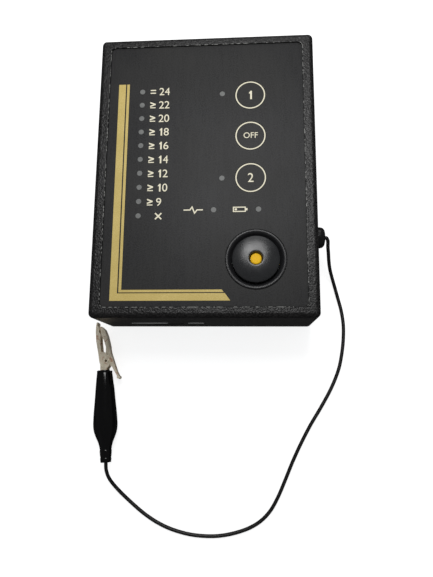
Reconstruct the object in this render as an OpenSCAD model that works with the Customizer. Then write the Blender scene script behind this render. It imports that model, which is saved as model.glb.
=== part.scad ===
// Counter-top gold tester: a flat two-part case with a membrane panel, a gel-fed probe cup
// and a flexible test lead that ends in an insulated alligator clip.
// Millimetres. +X right, +Y away from the user, +Z up. Origin under the middle of the case,
// on the surface that the feet stand on.

/* [Case] */
// Width of the case, left to right
case_w = 95; // [90:0.5:110]
// Length of the case, near end to far end
case_l = 127; // [122:0.5:145]
// Height of the rim above the table
case_h = 36; // [34:0.5:42]
// Thickness of the case walls
wall = 2.2; // [1.8:0.1:2.6]
// Radius of the outer corners and edges
edge_r = 2.2; // [1.5:0.1:3]
// Bevel round the rear shell's floor
base_bevel = 0.8; // [0.4:0.1:1.2]
// Height of the front shell's skirt, from the rim to the seam
skirt_h = 5.7; // [5:0.1:7]
// Height of the locating tongue along the seam
tongue_h = 1.5; // [1:0.1:2]
// Thickness of the locating tongue
tongue_t = 0.9; // [0.6:0.1:1.1]

/* [Panel] */
// Width of the panel overlay
panel_w = 85; // [80:0.5:86]
// Length of the panel overlay
panel_l = 118; // [112:0.5:118]
// Corner radius of the overlay
panel_r = 2; // [1:0.1:3]
// Thickness of the overlay
panel_t = 0.8; // [0.6:0.1:1]
// Depth of the overlay's face below the rim
panel_sink = 0.5; // [0.3:0.1:0.8]
// Thickness of the front shell's plate under the overlay
plate_t = 2; // [1.6:0.1:2.6]

/* [Keys] */
// Diameter of a key
key_d = 13; // [11:0.5:14]
// Distance between neighbouring keys
key_pitch = 19.1; // [17:0.1:20]
// Sideways place of the keys
key_x = 19.7; // [16:0.1:22]
// Place of the farthest key
key_top_y = 34.3; // [32:0.1:38]
// Travel of a key
key_travel = 0.3; // [0.2:0.05:0.4]
// Diameter of a key's plunger
plunger_d = 5; // [4:0.5:6]
// Diameter of a snap dome
dome_d = 6.4; // [5:0.2:8]
// Height of a snap dome
dome_h = 0.9; // [0.7:0.1:1]

/* [Indicators] */
// Diameter of an indicator lamp
led_d = 2.2; // [1.8:0.1:2.6]
// Number of lamps in the karat column
karat_count = 10; // [8:1:10]
// Distance between neighbouring karat lamps
karat_pitch = 6.38; // [5.5:0.01:6.6]
// Sideways place of the karat column
karat_x = -27.9; // [-30:0.1:-25]
// Place of the first karat lamp
karat_top_y = 37.3; // [34:0.1:40]
// Sideways place of the lamps beside the keys
mode_led_x = 7.5; // [5:0.1:9]
// Sideways place of the testing lamp
testing_led_x = 4.1; // [2:0.1:7]
// Sideways place of the battery lamp
battery_led_x = 22.9; // [19:0.1:26]
// Place of the testing and battery lamps
status_led_y = -17.9; // [-19:0.1:-16]

/* [Probe] */
// Sideways place of the probe cup
probe_x = 21.7; // [18:0.1:24]
// Place of the probe cup
probe_y = -39.3; // [-41:0.1:-37]
// Outer diameter of the cup's rim
cup_d = 25.2; // [24:0.2:27]
// Diameter of the domed hood
hood_d = 19.6; // [19:0.1:20.6]
// Height of the hood's crown above the case rim
hood_rise = 1.5; // [1:0.1:2.5]
// Diameter of the hole in the hood's crown
hood_hole_d = 5.3; // [5:0.1:6]
// Diameter of the yellow probe tip
tip_d = 4.5; // [4:0.1:4.8]
// Outer diameter of the gel cartridge
cartridge_d = 13; // [12:0.5:14]
// Wall of the gel cartridge
cartridge_wall = 1.3; // [1:0.1:1.6]
// Travel of the cartridge's piston
piston_travel = 10; // [6:0.5:11]
// Diameter of the dispensing knob
knob_d = 20; // [18:0.5:22]
// Depth of the knob's face above the case floor's underside
knob_sink = 0.7; // [0.4:0.1:1]
// Diameter of the lead screw's thread
lead_screw_d = 4; // [3:0.2:5]

/* [Electronics] */
// Width of the circuit board
board_w = 80; // [76:0.5:81]
// Length of the circuit board
board_l = 106; // [102:0.5:107]
// Thickness of the circuit board
board_t = 1.6; // [1.2:0.1:2]
// Height of the posts between the front plate and the board
post_h = 2.3; // [2:0.1:3]
// Length of the battery's body
battery_l = 46; // [45:0.5:47]
// Width of the battery
battery_w = 26.5; // [25.5:0.1:26.5]
// Thickness of the battery
battery_t = 17.5; // [16.5:0.1:17.5]
// Sideways place of the battery
battery_x = -17.2; // [-20:0.1:-14]

/* [Door] */
// Width of the battery door
door_w = 33; // [32:0.5:36]
// Thickness of the battery door's face
door_t = 1.2; // [1:0.1:1.4]
// Overlap of the door's face round its opening
door_lap = 1; // [0.8:0.1:1.5]
// Length of the bevel at the door's upper corners
door_bevel = 2; // [1:0.5:3]

/* [Fasteners] */
// Diameter of the case screws
screw_d = 2.9; // [2.5:0.1:3.2]
// Head diameter of the case screws
screw_head_d = 5.6; // [5:0.1:5.8]
// Diameter of the board screws
board_screw_d = 1.9; // [1.6:0.1:2.2]
// Diameter of the rubber feet
foot_d = 10; // [8:0.5:11]
// Height of the feet below the case
foot_h = 1.5; // [1:0.1:2]
// Depth of a foot's seat in the case floor
foot_seat = 0.7; // [0.5:0.1:1]

/* [Lead] */
// Diameter of the test lead
lead_d = 1.6; // [1.4:0.1:1.8]
// Diameter of the grommet's outer head
grommet_d = 9.4; // [8:0.2:10]
// Length of the grommet's head outside the wall
grommet_out = 4.9; // [4:0.1:5]
// Place of the grommet along the right wall
grommet_y = -25.6; // [-25.8:0.1:-25.4]
// Height of the grommet above the table
grommet_z = 18; // [17.8:0.1:18.2]

/* [Clip] */
// Sheet thickness of the clip's jaws
jaw_t = 0.5; // [0.4:0.05:0.6]
// Width of the jaws across their pivot
jaw_w = 4.4; // [4:0.1:4.6]
// Length of the jaws from the pivot to the nose
jaw_l = 18.7; // [18:0.1:18.8]
// Diameter of the pivot's rivet
rivet_d = 1.7; // [1.4:0.1:1.8]
// Largest diameter of the insulating boot
boot_d = 10.8; // [10:0.2:11]
// Diameter of the boot's mouth
boot_mouth_d = 7; // [7:0.1:7.6]
// Wall of the boot
boot_wall = 0.8; // [0.6:0.05:0.8]
// Length of the boot
boot_l = 40.4; // [39:0.2:41]

/* [Hidden] */
$fn = 64;

// Clearances
fit = 0.15;      // between a piece and the pocket that it sits in
run = 0.08;      // radial, between a shaft and its hole
eps = 0.01;      // overshoot of a cut

// Heights of the stack, from the rim down
seam_z = case_h - skirt_h;
panel_z = case_h - panel_sink - panel_t;
plate_z = panel_z - plate_t;
board_top = plate_z - post_h;
board_z = board_top - board_t;
floor_z = foot_h;
floor_top = floor_z + wall;

// Places worked out from the sizes
inner_w = case_w - 2 * wall;
inner_l = case_l - 2 * wall;
boss_r = 3.7;
boss_x = inner_w / 2 - boss_r + 0.2;
boss_y = inner_l / 2 - boss_r + 0.2;
boss_top = board_z - 1;
screw_seat_z = boss_top - 8;
foot_x = boss_x - 7;
foot_y = boss_y - 7;
board_post_x = board_w / 2 - 4;
board_post_y = board_l / 2 - 4;
post_r = 2.6;
key_ys = [for (i = [0:2]) key_top_y - i * key_pitch];
karat_ys = [for (i = [0:karat_count - 1]) karat_top_y - i * karat_pitch];
mode_led_ys = [key_ys[0] + 1, key_ys[2]];
status_xs = [testing_led_x, battery_led_x];

// The battery bay and its door
battery_z = floor_top + 0.1;
plug_t = 1;
battery_y = -case_l / 2 + door_t + plug_t + 0.3;
stud_h = 2.5;
stud_x = 6.35;
small_stud_r = 2.8;
large_stud_r = 4;
opening_w = door_w - 2 * door_lap;
opening_h = battery_t + 0.6;
snap_t = 4.2;
bay_gap = 0.4;
snap_y = battery_y + battery_l + 0.1;
bay_rib_t = 1.5;
bay_rib_h = 9;

// The probe's stack
cup_neck_r = cup_d / 2 - 1;
cup_depth = 3.9;
dish_h = 2;
hood_base_z = board_top + 0.6;
hood_edge_z = case_h + 0.1;
hood_top = case_h + hood_rise;
hood_t = 1.6;
knob_z = floor_z + knob_sink;
knob_h = 4.8;
knob_gap = 0.3;
deck_z = knob_z + knob_h + 0.4;
deck_t = 1.8;
cartridge_r = cartridge_d / 2;
cartridge_bore_r = cartridge_r - cartridge_wall;
cartridge_z = deck_z + deck_t + 0.1;
cartridge_top = board_z + 1.2;
shoulder_h = 1.5;
neck_r = tip_d / 2 + 0.2;
neck_h = 1.5;
tip_z = cartridge_top + shoulder_h + neck_h;
tip_top = hood_top - 1.1;
screw_collar_h = 1;
piston_h = 4;
piston_z = cartridge_z + screw_collar_h + 0.6;
screw_stem_r = 2.5;
socket_r = cartridge_r + fit;
socket_wall = 1.6;
socket_h = 6;

// The clip: its own frame has y along the boot towards the nose, and x across the jaws
clip_pos = [-46.2, -109, 5.6];
clip_yaw = 4.3;
clip_pitch = -3;
function clip_axis(y) = clip_pos
    + y * [-sin(clip_yaw) * cos(clip_pitch), cos(clip_yaw) * cos(clip_pitch), sin(clip_pitch)];

// The lead's route on the table, chosen by eye: out of the grommet, down, and round to the clip
lead_r = lead_d / 2;
grommet_hole_r = 3.6;
lead_start = [case_w / 2 - 0.3, grommet_y, grommet_z];
lead_route = [
    lead_start, [52.4, -25.6, 18], [53.4, -25.8, 17.8], [54, -26.9, 16.9], [54.2, -28.9, 15.2],
    [54.7, -31.4, 12.8], [55.3, -34.4, 9.6], [56.2, -37.6, 6.4], [57.6, -41.4, 3.6],
    [59.1, -46, 1.8], [60.4, -50.8, 1], [61.6, -56, 0.9], [62.3, -62.2, 0.9], [62.1, -68.6, 0.9],
    [61.2, -75.4, 0.9], [59.4, -83, 0.9], [55.8, -91.4, 0.9], [51, -99.8, 0.9], [46, -107.8, 0.9],
    [41.5, -116, 0.9], [37.7, -123.8, 0.9], [34.3, -131.6, 0.9], [30.8, -139.2, 0.9],
    [27, -145.2, 0.9], [21.8, -149.8, 0.9], [14.6, -153.1, 0.9], [5, -155.2, 0.9],
    [-5, -155.2, 0.9], [-13.6, -153.6, 0.9], [-21, -150.9, 0.9], [-28, -146.9, 0.9],
    [-34.6, -141.8, 1.1], [-40.2, -136.6, 2], [-43.6, -132, 4], [-44.8, -128, 5.9],
    clip_axis(-15.5), clip_axis(-10.3), clip_axis(-4.5)
];
inner_drop = [
    [0, 0, 0], [-1.6, 0, 0], [-4.7, 0, 0], [-7.7, 1.2, 0.07], [-9.6, 3.6, 0.26], [-10.2, 6, 0.52],
    [-10.2, 7.2, 0.78], [-10.2, 7.2, 0.98]
];
inner_route = [for (p = inner_drop) lead_start + [p[0], p[1], p[2] * (board_z - grommet_z)]];
wire_d = 1.2;
wire_tail = [
    [0, 0, 0], [0, 3, 0.6], [0, 6.4, 3.4], [0, 8.8, 7.6], [0, 9.8, 11.6], [0, 10, 15]
];

boot_ring_y = 15.5;
pivot = [1.2, 29.1];
jaw_yaw = 12;
tooth_x = 0.3;
tooth_count = 6;
upper_l = jaw_l - 2.5;
tooth_pitch = 1.5;
tooth_h = 0.45;
jaw_gap = 0.05;
half_w = jaw_w / 2;
inner_half_w = half_w - jaw_t - 0.1;
ear_r = 2.4;
inner_ear_r = 1.7;

// Shared shapes

module at_each(xs, ys) {
    for (x = xs, y = ys)
        translate([x, y, 0]) children();
}

module round_rect(w, l, r) {
    square([w - 2 * r, l], center = true);
    square([w, l - 2 * r], center = true);
    for (x = [-1, 1], y = [-1, 1])
        translate([x * (w / 2 - r), y * (l / 2 - r)]) circle(r);
}

module slab(w, l, r, z, h) {
    translate([0, 0, z]) linear_extrude(h) round_rect(w, l, r);
}

module bore(x, y, r, z, h) {
    translate([x, y, z]) cylinder(r = r, h = h);
}

module ring(x, y, r_in, r_out, z, h) {
    difference() {
        bore(x, y, r_out, z, h);
        bore(x, y, r_in, z - eps, h + 2 * eps);
    }
}

// The front shell's outside: rounded upright edges, and a rounded rim
module soft_box() {
    hull($fn = 40)
        for (x = [-1, 1], y = [-1, 1])
            translate([x * (case_w / 2 - edge_r), y * (case_l / 2 - edge_r), 0]) {
                translate([0, 0, case_h - edge_r]) sphere(edge_r);
                translate([0, 0, seam_z]) cylinder(r = edge_r, h = 1);
            }
}

// The rear shell's outside: rounded upright edges, and a small bevel round its floor
module base_box() {
    hull($fn = 40)
        for (x = [-1, 1], y = [-1, 1])
            translate([x * (case_w / 2 - edge_r), y * (case_l / 2 - edge_r), 0]) {
                translate([0, 0, floor_z]) cylinder(r = edge_r - base_bevel, h = 1);
                translate([0, 0, floor_z + base_bevel])
                    cylinder(r = edge_r, h = seam_z - floor_z - base_bevel);
            }
}

// A point on the curve that runs through four route points
function along(a, b, c, d, t) =
    0.5 * (2 * b + (c - a) * t + (2 * a - 5 * b + 4 * c - d) * t * t
        + (3 * b - a - 3 * c + d) * t * t * t);

// Route points, with some more between each two
function smooth(route, n) = [
    for (i = [0:len(route) - 2], k = [0:n - 1])
        along(route[max(i - 1, 0)], route[i], route[i + 1], route[min(i + 2, len(route) - 1)], k / n),
    route[len(route) - 1]
];

function unit(v) = v / norm(v);

// Directions across the route that never lie along it
side_hint = [0.6, 0.6, 0.5];

function heading(path, i) =
    unit(path[min(i + 1, len(path) - 1)] - path[max(i - 1, 0)]);

function rim_point(path, i, r, angle) =
    let (
        t = heading(path, i),
        u = unit(cross(t, side_hint)),
        v = cross(t, u)
    ) path[i] + r * (cos(angle) * u + sin(angle) * v);

module tube(route, d, per_point = 2) {
    sides = 8;
    path = smooth(route, per_point);
    rings = len(path);
    polyhedron(
        points = [for (i = [0:rings - 1], s = [0:sides - 1]) rim_point(path, i, d / 2, s * 360 / sides)],
        faces = concat(
            [[for (s = [0:sides - 1]) s]],
            [for (i = [0:rings - 2], s = [0:sides - 1])
                [i * sides + s, (i + 1) * sides + s, (i + 1) * sides + (s + 1) % sides]],
            [for (i = [0:rings - 2], s = [0:sides - 1])
                [i * sides + s, (i + 1) * sides + (s + 1) % sides, i * sides + (s + 1) % sides]],
            [[for (s = [sides - 1:-1:0]) (rings - 1) * sides + s]]
        )
    );
}

// Case

module front_shell() color("#1d1e1f") {
    difference() {
        soft_box();
        slab(panel_w + 2 * fit, panel_l + 2 * fit, panel_r, panel_z, case_h);
        slab(inner_w, inner_l, edge_r - 1, seam_z - 1, plate_z - seam_z + 1);
        slab(inner_w + 2 * tongue_t + fit, inner_l + 2 * tongue_t + fit, edge_r - 0.5,
            seam_z - 1, tongue_h + 1 + fit);
        panel_holes(fit);
        for (y = key_ys) bore(key_x, y, key_d / 2 + fit, panel_z - key_travel - fit, 1);
        for (y = key_ys) bore(key_x, y, plunger_d / 2 + 0.3, plate_z - eps, plate_t);
        bore(probe_x, probe_y, cup_neck_r + fit, plate_z - 1, plate_t + 2);
    }
    difference() {
        at_each([-boss_x, boss_x], [-boss_y, boss_y]) bore(0, 0, boss_r - 0.4, boss_top + 0.2, plate_z - boss_top);
        at_each([-boss_x, boss_x], [-boss_y, boss_y])
            bore(0, 0, screw_d / 2 + 0.05, boss_top, plate_z - boss_top - 0.6);
    }
    difference() {
        at_each([-board_post_x, board_post_x], [-board_post_y, 0, board_post_y])
            bore(0, 0, post_r, board_top, post_h + eps);
        at_each([-board_post_x, board_post_x], [-board_post_y, 0, board_post_y])
            bore(0, 0, board_screw_d / 2 + 0.05, board_top - eps, post_h);
    }
}

// Holes for the lamps, through the overlay and the plate under it
module panel_holes(gap) {
    r = led_d / 2 + gap;
    z = plate_z - 1;
    h = case_h - z;
    for (y = karat_ys) bore(karat_x, y, r, z, h);
    for (y = mode_led_ys) bore(mode_led_x, y, r, z, h);
    for (x = status_xs) bore(x, status_led_y, r, z, h);
}

module rear_shell() color("#17181a") {
    difference() {
        union() {
            difference() {
                base_box();
                slab(inner_w, inner_l, edge_r - 1, floor_top, case_h);
            }
            difference() {
                slab(inner_w + 2 * tongue_t, inner_l + 2 * tongue_t, edge_r - 0.5, seam_z - 1, tongue_h + 1);
                slab(inner_w, inner_l, edge_r - 1, seam_z - 2, tongue_h + 3);
                at_each([-boss_x, boss_x], [-boss_y, boss_y]) bore(0, 0, boss_r, seam_z, tongue_h + 1);
            }
            at_each([-boss_x, boss_x], [-boss_y, boss_y])
                bore(0, 0, boss_r, floor_top - 1, boss_top - floor_top + 1);
            probe_tower();
            battery_bay();
        }
        at_each([-boss_x, boss_x], [-boss_y, boss_y]) {
            bore(0, 0, screw_head_d / 2 + fit, floor_z - 1, screw_seat_z - floor_z + 1);
            bore(0, 0, screw_d / 2 + 0.25, floor_z, case_h);
        }
        at_each([-foot_x, foot_x], [-foot_y, foot_y]) bore(0, 0, foot_d / 2 + 0.1, floor_z - 1, foot_seat + 1);
        bore(probe_x, probe_y, knob_d / 2 + knob_gap, floor_z - 1, deck_z - floor_z + 1);
        bore(probe_x, probe_y, screw_stem_r + run, floor_z, case_h);
        door_rebate();
        grommet_hole();
    }
}

// The pot that holds the knob, with the cartridge's socket on top
module probe_tower() {
    bore(probe_x, probe_y, knob_d / 2 + knob_gap + socket_wall, floor_top - 1, deck_z + deck_t - floor_top + 1);
    ring(probe_x, probe_y, socket_r, socket_r + socket_wall, deck_z + deck_t - eps, socket_h);
}

module battery_bay() {
    end_y = snap_y + snap_t + 0.3;
    for (side = [-1, 1])
        translate([battery_x + side * (battery_w / 2 + bay_gap + bay_rib_t / 2) - bay_rib_t / 2,
            -inner_l / 2 + 0.2, floor_top - 0.5])
            cube([bay_rib_t, end_y + inner_l / 2, bay_rib_h + 0.5]);
    translate([battery_x - battery_w / 2 - bay_gap - bay_rib_t, end_y, floor_top - 0.5])
        cube([battery_w + 2 * bay_gap + 2 * bay_rib_t, bay_rib_t, bay_rib_h + 0.5]);
}

module door_rebate() {
    translate([battery_x - opening_w / 2, -case_l / 2 - 1, floor_top])
        cube([opening_w, wall + 1 + 0.3, opening_h]);
    translate([battery_x, -case_l / 2 + door_t, 0]) rotate([90, 0, 0])
        linear_extrude(door_t + 1) door_outline(fit);
}

module door_outline(grow) {
    w = door_w / 2 + grow;
    low = floor_top - door_lap - grow;
    high = floor_top + opening_h + door_lap + grow;
    polygon([[-w, low], [w, low], [w, high - door_bevel], [w - door_bevel, high],
        [door_bevel - w, high], [-w, high - door_bevel]]);
}

module grommet_hole() {
    translate([case_w / 2 - wall - 1, grommet_y, grommet_z]) rotate([0, 90, 0])
        cylinder(r = grommet_hole_r, h = wall + 2);
}

module battery_door() color("#1a1b1d") {
    grip_w = 14;
    grip_h = 4.2;
    mid_z = floor_top + opening_h / 2;
    difference() {
        translate([battery_x, -case_l / 2 + door_t, 0]) rotate([90, 0, 0])
            linear_extrude(door_t) door_outline(0);
        for (i = [-2:2])
            translate([battery_x - grip_w / 2, -case_l / 2 - eps, mid_z + i * 1.6 - 0.4])
                cube([grip_w, 0.5, 0.8]);
    }
    translate([battery_x - opening_w / 2 + fit, -case_l / 2 + door_t, floor_top + fit])
        cube([opening_w - 2 * fit, plug_t, opening_h - 2 * fit]);
    translate([battery_x - grip_h, -case_l / 2 + door_t, floor_top + opening_h - fit - 0.5])
        cube([2 * grip_h, wall - door_t + 0.2, 0.5]);
}

// Panel

module panel_overlay() color("#26272a") {
    difference() {
        slab(panel_w, panel_l, panel_r, panel_z, panel_t);
        panel_holes(0.1);
        for (y = key_ys) bore(key_x, y, key_d / 2 + fit, panel_z - 1, panel_t + 2);
        bore(probe_x, probe_y, cup_d / 2 + 0.2, panel_z - 1, panel_t + 2);
    }
}

module key(y) {
    bore(key_x, y, key_d / 2, panel_z, panel_t);
    bore(key_x, y, plunger_d / 2, board_top + dome_h + key_travel + 0.05, panel_z - board_top - dome_h - key_travel);
}

module key_upper() color("#26272a") key(key_ys[0]);
module key_off() color("#26272a") key(key_ys[1]);
module key_lower() color("#26272a") key(key_ys[2]);

module snap_domes() color("silver") {
    cap_r = (pow(dome_d / 2, 2) + pow(dome_h, 2)) / (2 * dome_h);
    for (y = key_ys)
        translate([key_x, y, board_top])
            difference() {
                intersection() {
                    translate([0, 0, dome_h - cap_r]) sphere(cap_r);
                    cylinder(d = dome_d, h = dome_h + 1);
                }
                intersection() {
                    translate([0, 0, dome_h - cap_r]) sphere(cap_r - 0.2);
                    translate([0, 0, -eps]) cylinder(d = dome_d, h = dome_h + 1);
                }
            }
}

// A lamp with a flange at the board and a shallow lens just below the overlay's face
module lamp(x, y) {
    r = led_d / 2;
    lens_h = 0.15;
    lens_z = panel_z + panel_t - lens_h - 0.03;
    drop = (r * r - lens_h * lens_h) / (2 * lens_h);
    translate([x, y, 0]) {
        bore(0, 0, r, board_top, lens_z - board_top);
        bore(0, 0, r + 0.4, board_top, 1);
        translate([0, 0, lens_z]) rotate_extrude()
            intersection() {
                translate([0, -drop]) circle(r = drop + lens_h, $fn = 360);
                square([r, r]);
            }
    }
}

module karat_leds() color("#9a9c9a") for (y = karat_ys) lamp(karat_x, y);
module mode_leds() color("#9a9c9a") for (y = mode_led_ys) lamp(mode_led_x, y);
module testing_led() color("#9a9c9a") lamp(testing_led_x, status_led_y);
module battery_led() color("#9a9c9a") lamp(battery_led_x, status_led_y);

// Electronics, hung under the front shell's posts

module circuit_board() color("#1f5c33") {
    difference() {
        slab(board_w, board_l, 1.5, board_z, board_t);
        bore(probe_x, probe_y, cartridge_r + 0.8, board_z - 1, board_t + 2);
        at_each([-board_post_x, board_post_x], [-board_post_y, 0, board_post_y])
            bore(0, 0, board_screw_d / 2 + 0.2, board_z - 1, board_t + 2);
    }
}

// A chip in a dual in-line package, hung under the board
module chip(x, y, w, l, h, pins) {
    pin_pitch = 2.54;
    translate([x - w / 2, y - l / 2, board_z - h - 0.5]) cube([w, l, h]);
    for (side = [-1, 1], i = [0:pins / 2 - 1])
        translate([x + side * (w / 2 + 0.5) - 0.5, y + (i - (pins / 2 - 1) / 2) * pin_pitch - 0.25, board_z - 2.2])
            cube([1, 0.5, 2.2]);
}

module microcontroller() color("#202124") chip(8, 22, 7, 34, 3.4, 26);
module amplifier_chip() color("#202124") chip(26, -8, 6.6, 9.6, 3.2, 8);

module voltage_regulator() color("#202124")
    translate([-16, 12, board_z - 5]) {
        difference() {
            cylinder(r = 2.4, h = 4.6);
            translate([-3, 1.2, -1]) cube([6, 3, 7]);
        }
        for (x = [-1.2, 0, 1.2]) translate([x - 0.2, -0.2, 4.5]) cube([0.4, 0.4, 0.5]);
    }

module capacitors() color("#27406b")
    for (p = [[-16, 22], [-8, 34]])
        translate([p[0], p[1], board_z - 7]) cylinder(r = 3.1, h = 7);

module resistors() color("#c8b48a")
    for (y = karat_ys)
        translate([karat_x + 1.9, y, board_z - 1.2]) {
            rotate([0, 90, 0]) cylinder(r = 0.9, h = 5.4);
            for (x = [-0.4, 5.2]) translate([x, -0.25, -0.25]) cube([0.6, 0.5, 1.45]);
        }

module crystal() color("silver")
    translate([-4, 8, board_z - 3.4]) linear_extrude(3.4) round_rect(4.6, 10.6, 2.2);

module board_screws() color("silver")
    at_each([-board_post_x, board_post_x], [-board_post_y, 0, board_post_y])
        difference() {
            union() {
                bore(0, 0, board_screw_d / 2, board_z - eps, board_t + post_h - 0.3);
                bore(0, 0, board_screw_d, board_z - 1.2, 1.2);
            }
            for (a = [0, 90]) translate([0, 0, board_z - 1.2 - eps]) rotate(a)
                translate([-1.1, -0.2, 0]) cube([2.2, 0.4, 0.6]);
        }

module battery() color("#33353a") {
    translate([battery_x, battery_y, battery_z + battery_t / 2]) {
        rotate([-90, 0, 0]) linear_extrude(battery_l) round_rect(battery_w, battery_t, 1.5);
        translate([-stud_x, battery_l - eps, 0]) rotate([-90, 0, 0]) cylinder(r = small_stud_r, h = stud_h);
        translate([stud_x, battery_l - eps, 0]) rotate([-90, 0, 0]) cylinder(r = large_stud_r, h = stud_h);
    }
}

module battery_snap() color("#161616")
    difference() {
        translate([battery_x - 12.6, snap_y, battery_z + 2.4]) cube([25.2, snap_t, battery_t - 4.8]);
        translate([battery_x - stud_x, snap_y - eps, battery_z + battery_t / 2]) rotate([-90, 0, 0])
            cylinder(r = small_stud_r + 0.1, h = stud_h + 0.3);
        translate([battery_x + stud_x, snap_y - eps, battery_z + battery_t / 2]) rotate([-90, 0, 0])
            cylinder(r = large_stud_r + 0.1, h = stud_h + 0.3);
    }

// A wire from the snap's back up to the board's underside
module battery_wire(x) {
    start = [battery_x + x, snap_y + snap_t, battery_z + battery_t / 2 + 3.6];
    rise = board_z - start[2];
    tail_h = wire_tail[len(wire_tail) - 1][2];
    tube([for (p = wire_tail) start + [p[0], p[1], p[2] * rise / tail_h]], wire_d, 2);
}

module battery_lead_red() color("#a31c1c") battery_wire(-2.2);
module battery_lead_black() color("#1a1a1a") battery_wire(2.2);

// Probe

module probe_cup() color("#1c1d1f") {
    top = case_h - panel_sink + 0.3;
    low = top - cup_depth;
    lip = cup_d / 2;
    well = hood_d / 2 + fit;
    translate([probe_x, probe_y, 0]) rotate_extrude($fn = 96)
        polygon([[well, low - 0.8], [cup_neck_r, low - 0.8], [cup_neck_r, panel_z + 0.05],
            [lip, panel_z + 0.05], [lip, top - 0.35], [lip - 0.35, top], [lip - 0.9, top],
            [well + 0.25, top - dish_h + 0.1], [well, top - dish_h]]);
}

// The domed hood, a shell of turned section with a chamfered hole in its crown
module probe_hood() color("#222326") {
    base_r = hood_d / 2;
    hole_r = hood_hole_d / 2;
    rise = hood_top - hood_edge_z;
    span = base_r - hole_r - 0.4;
    crown_r = (span * span + rise * rise) / (2 * rise);
    arc = [for (i = [0:12]) let (x = hole_r + 0.4 + span * i / 12, dx = x - hole_r - 0.4)
        [x, hood_top - crown_r + sqrt(crown_r * crown_r - dx * dx)]];
    inner = [for (i = [12:-1:0]) [max(hole_r, arc[i][0] - hood_t * 0.9), arc[i][1] - hood_t]];
    translate([probe_x, probe_y, 0]) rotate_extrude($fn = 96)
        polygon(concat([[hole_r, hood_top - 0.5]], arc,
            [[base_r, hood_base_z], [base_r - hood_t, hood_base_z]], inner));
}

module probe_tip() color("#f0c020") {
    r = tip_d / 2;
    translate([probe_x, probe_y, 0]) {
        bore(0, 0, r, tip_z, tip_top - tip_z - 0.3);
        translate([0, 0, tip_top - 0.3 - eps]) rotate_extrude()
            polygon([[0, 0], [r, 0], [r - 0.12, 0.16], [r - 0.5, 0.27], [0, 0.3]]);
    }
}

module gel_cartridge() color("#d9dadb") {
    translate([probe_x, probe_y, 0]) rotate_extrude($fn = 96)
        polygon([[cartridge_bore_r, cartridge_z], [cartridge_r, cartridge_z],
            [cartridge_r, cartridge_top], [neck_r, cartridge_top + shoulder_h],
            [neck_r, tip_z], [0.9, tip_z], [0.9, cartridge_top],
            [cartridge_bore_r, cartridge_top - 1.2]]);
}

module cartridge_piston() color("#2a2b2e")
    translate([probe_x, probe_y, piston_z])
        difference() {
            union() {
                cylinder(r = cartridge_bore_r - run, h = 1.2);
                translate([0, 0, piston_h - 1.2]) cylinder(r = cartridge_bore_r - run, h = 1.2);
                cylinder(r = cartridge_bore_r - 0.6, h = piston_h);
            }
            translate([0, 0, -1]) cylinder(r = lead_screw_d / 2 + run, h = piston_h + 2);
        }

module lead_screw() color("silver")
    translate([probe_x, probe_y, 0]) {
        bore(0, 0, screw_stem_r, knob_z + 1.5, cartridge_z + 0.1 - knob_z - 1.5);
        bore(0, 0, cartridge_bore_r - 0.4, cartridge_z + 0.1, screw_collar_h);
        bore(0, 0, lead_screw_d / 2, cartridge_z + 0.5, piston_z + piston_h + piston_travel - cartridge_z);
    }

module dispense_knob() color("#2b2c2f") {
    slot_w = 2.4;
    translate([probe_x, probe_y, 0])
        difference() {
            bore(0, 0, knob_d / 2, knob_z, knob_h);
            bore(0, 0, screw_stem_r + 0.02, knob_z + 1.5, knob_h);
            translate([-knob_d / 2 + 3, -slot_w / 2, knob_z - 1]) cube([knob_d - 6, slot_w, 2.3]);
            for (a = [0:30:330]) rotate(a) bore(knob_d / 2 + 0.5, 0, 1, knob_z - 1, knob_h + 2);
        }
}

// A spring finger from the board to the cartridge's collar
module electrode_contact() color("#c9a54a") {
    x0 = probe_x + cartridge_r + 0.3;
    translate([x0 + 0.9, probe_y - 1.5, board_top]) cube([4, 3, 0.3]);
    translate([x0 + 0.9, probe_y - 1.5, board_top]) cube([0.3, 3, 1.2]);
}

// Test lead

module lead_grommet() color("#101112") {
    out = case_w / 2;
    inside = out - wall;
    r = grommet_d / 2;
    round_r = 2;
    arc = [for (a = [0:15:90]) [r - round_r + round_r * cos(a), grommet_out - round_r + round_r * sin(a)]];
    bore_r = lead_r + 0.05;
    translate([out, grommet_y, grommet_z]) rotate([0, 90, 0])
        rotate_extrude()
            polygon(concat([[bore_r, -wall - 1.6], [r, -wall - 1.6], [r, -wall - 0.05], [grommet_hole_r - 0.1, -wall - 0.05],
                [grommet_hole_r - 0.1, 0.05], [r, 0.05]], arc, [[bore_r, grommet_out]]));
}

module inner_lead() color("#141414") tube(inner_route, lead_d, 2);
module test_lead() color("#141414") tube(lead_route, lead_d, 2);

// Alligator clip

module in_clip() {
    translate(clip_pos) rotate([0, 0, clip_yaw]) rotate([clip_pitch, 0, 0]) children();
}

module in_jaw() {
    in_clip() translate([pivot[0], pivot[1], 0]) rotate([0, 0, jaw_yaw]) children();
}

// Outer edge of each jaw, from the nose back past the pivot, as [across, along]
lower_edge = [[-0.3, jaw_l], [-0.95, jaw_l - 1.4], [-1.75, 14.4], [-2.5, 9.8], [-2.75, 4.6], [-3.1, 0.2]];
upper_edge = [[1.5, upper_l], [2.5, upper_l - 1.6], [2.95, 11.5], [3, 7.7], [2.85, 3], [3.15, -0.4],
    [3.55, -5.5], [4.2, -8.4]];

function shifted(edge, dx) = [for (i = [len(edge) - 1:-1:0]) [edge[i][0] + dx, edge[i][1]]];

// A row of teeth, from the nose back to the gap behind them
function teeth(side, first) = [
    for (i = [first:tooth_count - 1])
        [tooth_x + side * (jaw_gap + (i % 2) * tooth_h), jaw_l - i * tooth_pitch]
];

// Two sheets, one on each side of the jaw
module sheets(inner, outer) {
    for (z = [-outer, inner]) translate([0, 0, z]) linear_extrude(outer - inner) children();
}

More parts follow.
